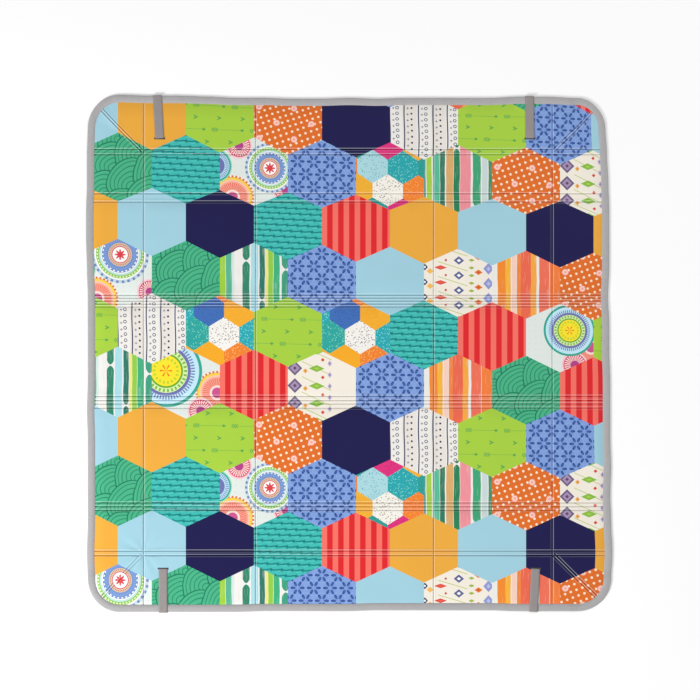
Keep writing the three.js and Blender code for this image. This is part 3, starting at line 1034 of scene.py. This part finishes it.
def build_quilt():
    """The laminate: a pad on every panel, and a strip across every hinged fold that is built but not attached
    to a body.
    """
    sheet = base_sheet()
    sheet.verts.index_update()
    groups = {}
    for face in sheet.faces:
        c = face.calc_center_median()
        groups.setdefault(zone_of(c.x, c.y), []).append(face)
    for zone, faces in sorted(groups.items(), key=lambda item: str(item[0])):
        if zone[0] == "pad":
            body = zone[1]
            piece = quilted(faces, "quilt_" + body)
            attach(piece, body)
            node = body if body.startswith("gusset") else "panel_" + body
            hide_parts(node)
            continue
        first, second, direction, place = zone[1:]
        piece = quilted(faces, "fold_" + first + "_to_" + second)
        centres = [f.calc_center_median() for f in faces]
        middle = sum(centres, Vector()) / len(centres)
        if direction == "x":
            away = -1 if second.startswith("gusset") and place == 0 else 1
            reach = Vector((away * X_TURN, 0, 0))
            middle.x = X_FOLDS[place]
        elif direction == "y":
            reach = Vector((0, -Y_TURN, 0))
            middle.y = Y_FOLDS[place]
        else:
            corner = next(c for c in CORNERS if corner_name(c) == place)
            way = corner[3]
            reach = Vector((-way.y, way.x, 0)) * DIAGONAL_BEND
            middle = Vector((corner[2].x, corner[2].y, 0))
            if across_diagonal(corner, *(middle + reach).xy) < 0:
                reach = -reach
        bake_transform(piece)
        xs = [v.co.x for f in faces for v in f.verts]
        ys = [v.co.y for f in faces for v in f.verts]
        area = sum(f.calc_area() for f in faces)
        wide, long = max(xs) - min(xs), max(ys) - min(ys)
        if direction == "d":
            wide = 2 * DIAGONAL_BEND
            long = area / wide
    sheet.free()


def outline_place(x, y):
    """Distance along the outline and distance in from it, for a point of the binding."""
    cx, cy = EDGE_X - CORNER_RADIUS, EDGE_Y - CORNER_RADIUS
    ax, ay = abs(x), abs(y)
    if ax > cx and ay > cy:
        angle = math.atan2(ay - cy, ax - cx)
        return cx + cy + CORNER_RADIUS * angle, CORNER_RADIUS - math.hypot(ax - cx, ay - cy)
    if ax - cx > ay - cy:
        return y, EDGE_X - ax
    return x, EDGE_Y - ay


def tape_profile(bm, origin, inward):
    """The binding's cut end: a flat tube with a rounded outer edge, as a loop of edges."""
    points = [(TAPE_WIDTH, 2.7 * MM), (TAPE_WIDTH - 0.6 * MM, 3.35 * MM), (TAPE_WIDTH * 0.5, TAPE_TOP),
              (4.0 * MM, 3.4 * MM), (1.6 * MM, 3.0 * MM), (0.4 * MM, 2.3 * MM), (0.0, 1.6 * MM),
              (0.4 * MM, 0.8 * MM), (1.6 * MM, 0.2 * MM), (4.0 * MM, 0.02 * MM),
              (TAPE_WIDTH * 0.5, 0.0), (TAPE_WIDTH, 0.0)]
    verts = [bm.verts.new(origin + inward * depth + Vector((0, 0, height))) for depth, height in points]
    return [bm.edges.new((a, b)) for a, b in zip(verts, verts[1:] + verts[:1])]


def finish_tape(bm, name, body, node):
    bmesh.ops.remove_doubles(bm, verts=bm.verts, dist=0.01 * MM)
    bmesh.ops.holes_fill(bm, edges=[e for e in bm.edges if e.is_boundary], sides=0)
    bmesh.ops.recalc_face_normals(bm, faces=bm.faces)
    flat = bm.loops.layers.uv.new("flat")
    for face in bm.faces:
        face.smooth = len(face.verts) == 4
        for loop in face.loops:
            x, y, z = loop.vert.co
            along, deep = outline_place(x, y)
            loop[flat].uv = (along, deep + z)
    for edge in bm.edges:
        if any(len(f.verts) != 4 for f in edge.link_faces):
            edge.smooth = False
    for vert in bm.verts:
        x, y = vert.co.xy
        dx, dy = edge_wander(x, y)
        ripple = 0.12 * MM * noise.noise(Vector((x * 40, y * 40, 1.3))) * (1 if vert.co.z > 2 * MM else 0)
        vert.co += Vector((dx, dy, ripple))
    piece = to_object(bm, name, [TAPE])
    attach(piece, body)
    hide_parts(node)
    return piece


def build_binding():
    """The folded-over edge tape, cut where the mat folds."""
    x_ends = [-EDGE_X + CORNER_RADIUS] + X_FOLDS + [EDGE_X - CORNER_RADIUS]
    y_ends = [EDGE_Y - CORNER_RADIUS] + Y_FOLDS + [-EDGE_Y + CORNER_RADIUS]
    runs = []
    for side, row in ((1, ROWS[0]), (-1, ROWS[-1])):
        place = "north" if side > 0 else "south"
        names = (["gusset_" + place + "west_a"] + [c + "_" + row for c in COLUMNS[1:4]]
                 + ["gusset_" + place + "east_a"])
        for i, body in enumerate(names):
            start, end = Vector((x_ends[i], side * EDGE_Y, 0)), Vector((x_ends[i + 1], side * EDGE_Y, 0))
            runs.append((body, start, end, Vector((0, -side, 0))))
    for side, column in ((-1, COLUMNS[0]), (1, COLUMNS[-1])):
        place = "west" if side < 0 else "east"
        names = (["gusset_north" + place + "_b"] + [column + "_" + r for r in ROWS[1:6]]
                 + ["gusset_south" + place + "_b"])
        for i, body in enumerate(names):
            start, end = Vector((side * EDGE_X, y_ends[i], 0)), Vector((side * EDGE_X, y_ends[i + 1], 0))
            runs.append((body, start, end, Vector((-side, 0, 0))))
    for body, start, end, inward in runs:
        bm = bmesh.new()
        edges = tape_profile(bm, start, inward)
        steps = max(1, round((end - start).length / (20 * MM)))
        bmesh.ops.spin(bm, geom=edges + list(bm.verts), cent=start, axis=(0, 0, 1), angle=0,
                       dvec=(end - start) / steps, steps=steps)
        node = body if body.startswith("gusset") else "binding_" + body
        finish_tape(bm, "tape_" + body, body, node)
    for corner in CORNERS:
        sx, sy = corner[:2]
        place = corner_name(corner)
        centre = Vector((sx * (EDGE_X - CORNER_RADIUS), sy * (EDGE_Y - CORNER_RADIUS), 0))
        for letter, outward, turn in (("_a", Vector((0, sy, 0)), -sx * sy),
                                      ("_b", Vector((sx, 0, 0)), sx * sy)):
            bm = bmesh.new()
            edges = tape_profile(bm, centre + outward * CORNER_RADIUS, -outward)
            bmesh.ops.spin(bm, geom=edges + list(bm.verts), cent=centre, axis=(0, 0, 1),
                           angle=math.radians(45) * turn, steps=10)
            body = "gusset_" + place + letter
            finish_tape(bm, "tape_corner_" + place + letter, body, body)


def build_band(place):
    """An elastic band: a flat loop that leaves its slit, crosses the rim and returns along the back."""
    node = "band_" + place
    low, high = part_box(node)
    end = 1 if place.startswith("north") else -1
    inner, outer = (low.y, high.y) if end > 0 else (high.y, low.y)
    width = high.x - low.x
    top, bottom = high.z - 0.6 * MM, low.z + 0.5 * MM
    radius = (top - bottom) / 2
    route = []
    for i in range(9):
        angle = math.radians(90 - 180 * i / 8)
        route.append((outer - end * radius + end * radius * math.cos(angle),
                      (top + bottom) / 2 + radius * math.sin(angle)))
    for i in range(9):
        angle = math.radians(-90 - 180 * i / 8)
        route.append((inner + end * radius + end * radius * math.cos(angle),
                      (top + bottom) / 2 + radius * math.sin(angle)))
    dense = []
    for (y0, z0), (y1, z1) in zip(route, route[1:] + route[:1]):
        parts = max(1, round(abs(y1 - y0) / (8 * MM)))
        dense += [(y0 + (y1 - y0) * i / parts, z0 + (z1 - z0) * i / parts) for i in range(parts)]
    bm = bmesh.new()
    verts = [bm.verts.new((low.x + 1 * MM, y, z)) for y, z in dense]
    edges = [bm.edges.new((a, b)) for a, b in zip(verts, verts[1:] + verts[:1])]
    across = 6
    for i in range(across):
        grown = bmesh.ops.extrude_edge_only(bm, edges=edges)["geom"]
        edges = [g for g in grown if isinstance(g, bmesh.types.BMEdge) and g.is_boundary]
        fresh = [g for g in grown if isinstance(g, bmesh.types.BMVert)]
        bmesh.ops.translate(bm, vec=((width - 2 * MM) / across, 0, 0), verts=fresh)
    bmesh.ops.recalc_face_normals(bm, faces=bm.faces)
    flat = bm.loops.layers.uv.new("flat")
    for face in bm.faces:
        face.smooth = True
        for loop in face.loops:
            loop[flat].uv = (loop.vert.co.x, loop.vert.co.y + loop.vert.co.z)
    lean = {"northwest": 3.0, "northeast": 0.6, "southwest": 0.0, "southeast": -3.0}[place]
    pivot = Vector(((low.x + high.x) / 2, inner, 0))
    bmesh.ops.rotate(bm, cent=pivot, matrix=Matrix.Rotation(math.radians(lean), 3, "Z"), verts=bm.verts)
    for vert in bm.verts:
        vert.co += Vector((*edge_wander(*vert.co.xy), 0))
    piece = to_object(bm, "elastic_" + place, [ELASTIC])
    solid = piece.modifiers.new("thickness", "SOLIDIFY")
    solid.thickness = 0.9 * MM
    solid.offset = 0
    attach(piece, node)
    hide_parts(node)
    return piece


def build_slit(place):
    """A dark plate of painted shadow: it stands for the shade in the slit that a band passes through."""
    low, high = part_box("band_" + place)
    end = 1 if place.startswith("north") else -1
    inner = low.y if end > 0 else high.y
    middle = (low.x + high.x) / 2
    bm = bmesh.new()
    bmesh.ops.create_cube(bm, size=1.0)
    bmesh.ops.scale(bm, vec=(25 * MM, 4.2 * MM, 1.0 * MM), verts=bm.verts)
    bmesh.ops.bevel(bm, geom=list(bm.edges), offset=0.45 * MM, offset_type="OFFSET", affect="EDGES",
                    segments=2, profile=0.5, material=-1)
    bmesh.ops.translate(bm, vec=(middle, inner - end * 0.4 * MM, PAD_TOP + 0.1 * MM), verts=bm.verts)
    flat = bm.loops.layers.uv.new("flat")
    for face in bm.faces:
        face.smooth = True
        for loop in face.loops:
            loop[flat].uv = loop.vert.co.xy
    piece = to_object(bm, "slit_" + place, [SLIT_PAINTED_SHADOW])
    rim = "north_rim" if end > 0 else "south_rim"
    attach(piece, ("west_" if place.endswith("west") else "east_") + rim)
    return piece


def build_stage():
    bm = bmesh.new()
    bmesh.ops.create_grid(bm, x_segments=1, y_segments=1, size=6.0)
    bmesh.ops.translate(bm, vec=(0, 0, -0.5 * MM), verts=bm.verts)
    material, _, shader = new_material("floor")
    shader.inputs["Base Color"].default_value = (1.0, 1.0, 1.0, 1)
    shader.inputs["Roughness"].default_value = 0.9
    floor = to_object(bm, "floor", [material])


def build_light():
    world = bpy.data.worlds.new("studio")
    world.use_nodes = True
    background = next(n for n in world.node_tree.nodes if n.type == "BACKGROUND")
    background.inputs["Color"].default_value = (1, 1, 1, 1)
    background.inputs["Strength"].default_value = 0.5
    scene = bpy.context.scene
    scene.world = world
    scene.view_settings.view_transform = "Standard"
    for name, place, energy, size in (("key", (-2.7, -2.5, 1.8), 150, 1.0),
                                      ("fill", (2.6, 2.2, 3.0), 52, 2.0)):
        lamp = bpy.data.lights.new(name, "AREA")
        lamp.energy = energy
        lamp.size = size
        holder = bpy.data.objects.new(name, lamp)
        holder.location = place
        holder.rotation_euler = (-Vector(place)).to_track_quat("-Z", "Y").to_euler()
        scene.collection.objects.link(holder)


def build_camera():
    lens = bpy.data.cameras.new("camera")
    lens.lens = 90
    lens.sensor_width = 36
    holder = bpy.data.objects.new("camera", lens)
    width_seen = 1.606
    holder.location = (0.0034, 0.008, width_seen * lens.lens / lens.sensor_width)
    lens.clip_end = 100
    bpy.context.scene.collection.objects.link(holder)
    bpy.context.scene.camera = holder


build_quilt()
build_binding()
for place in ("northwest", "northeast", "southwest", "southeast"):
    build_band(place)
    build_slit(place)
build_stage()
build_light()
build_camera()
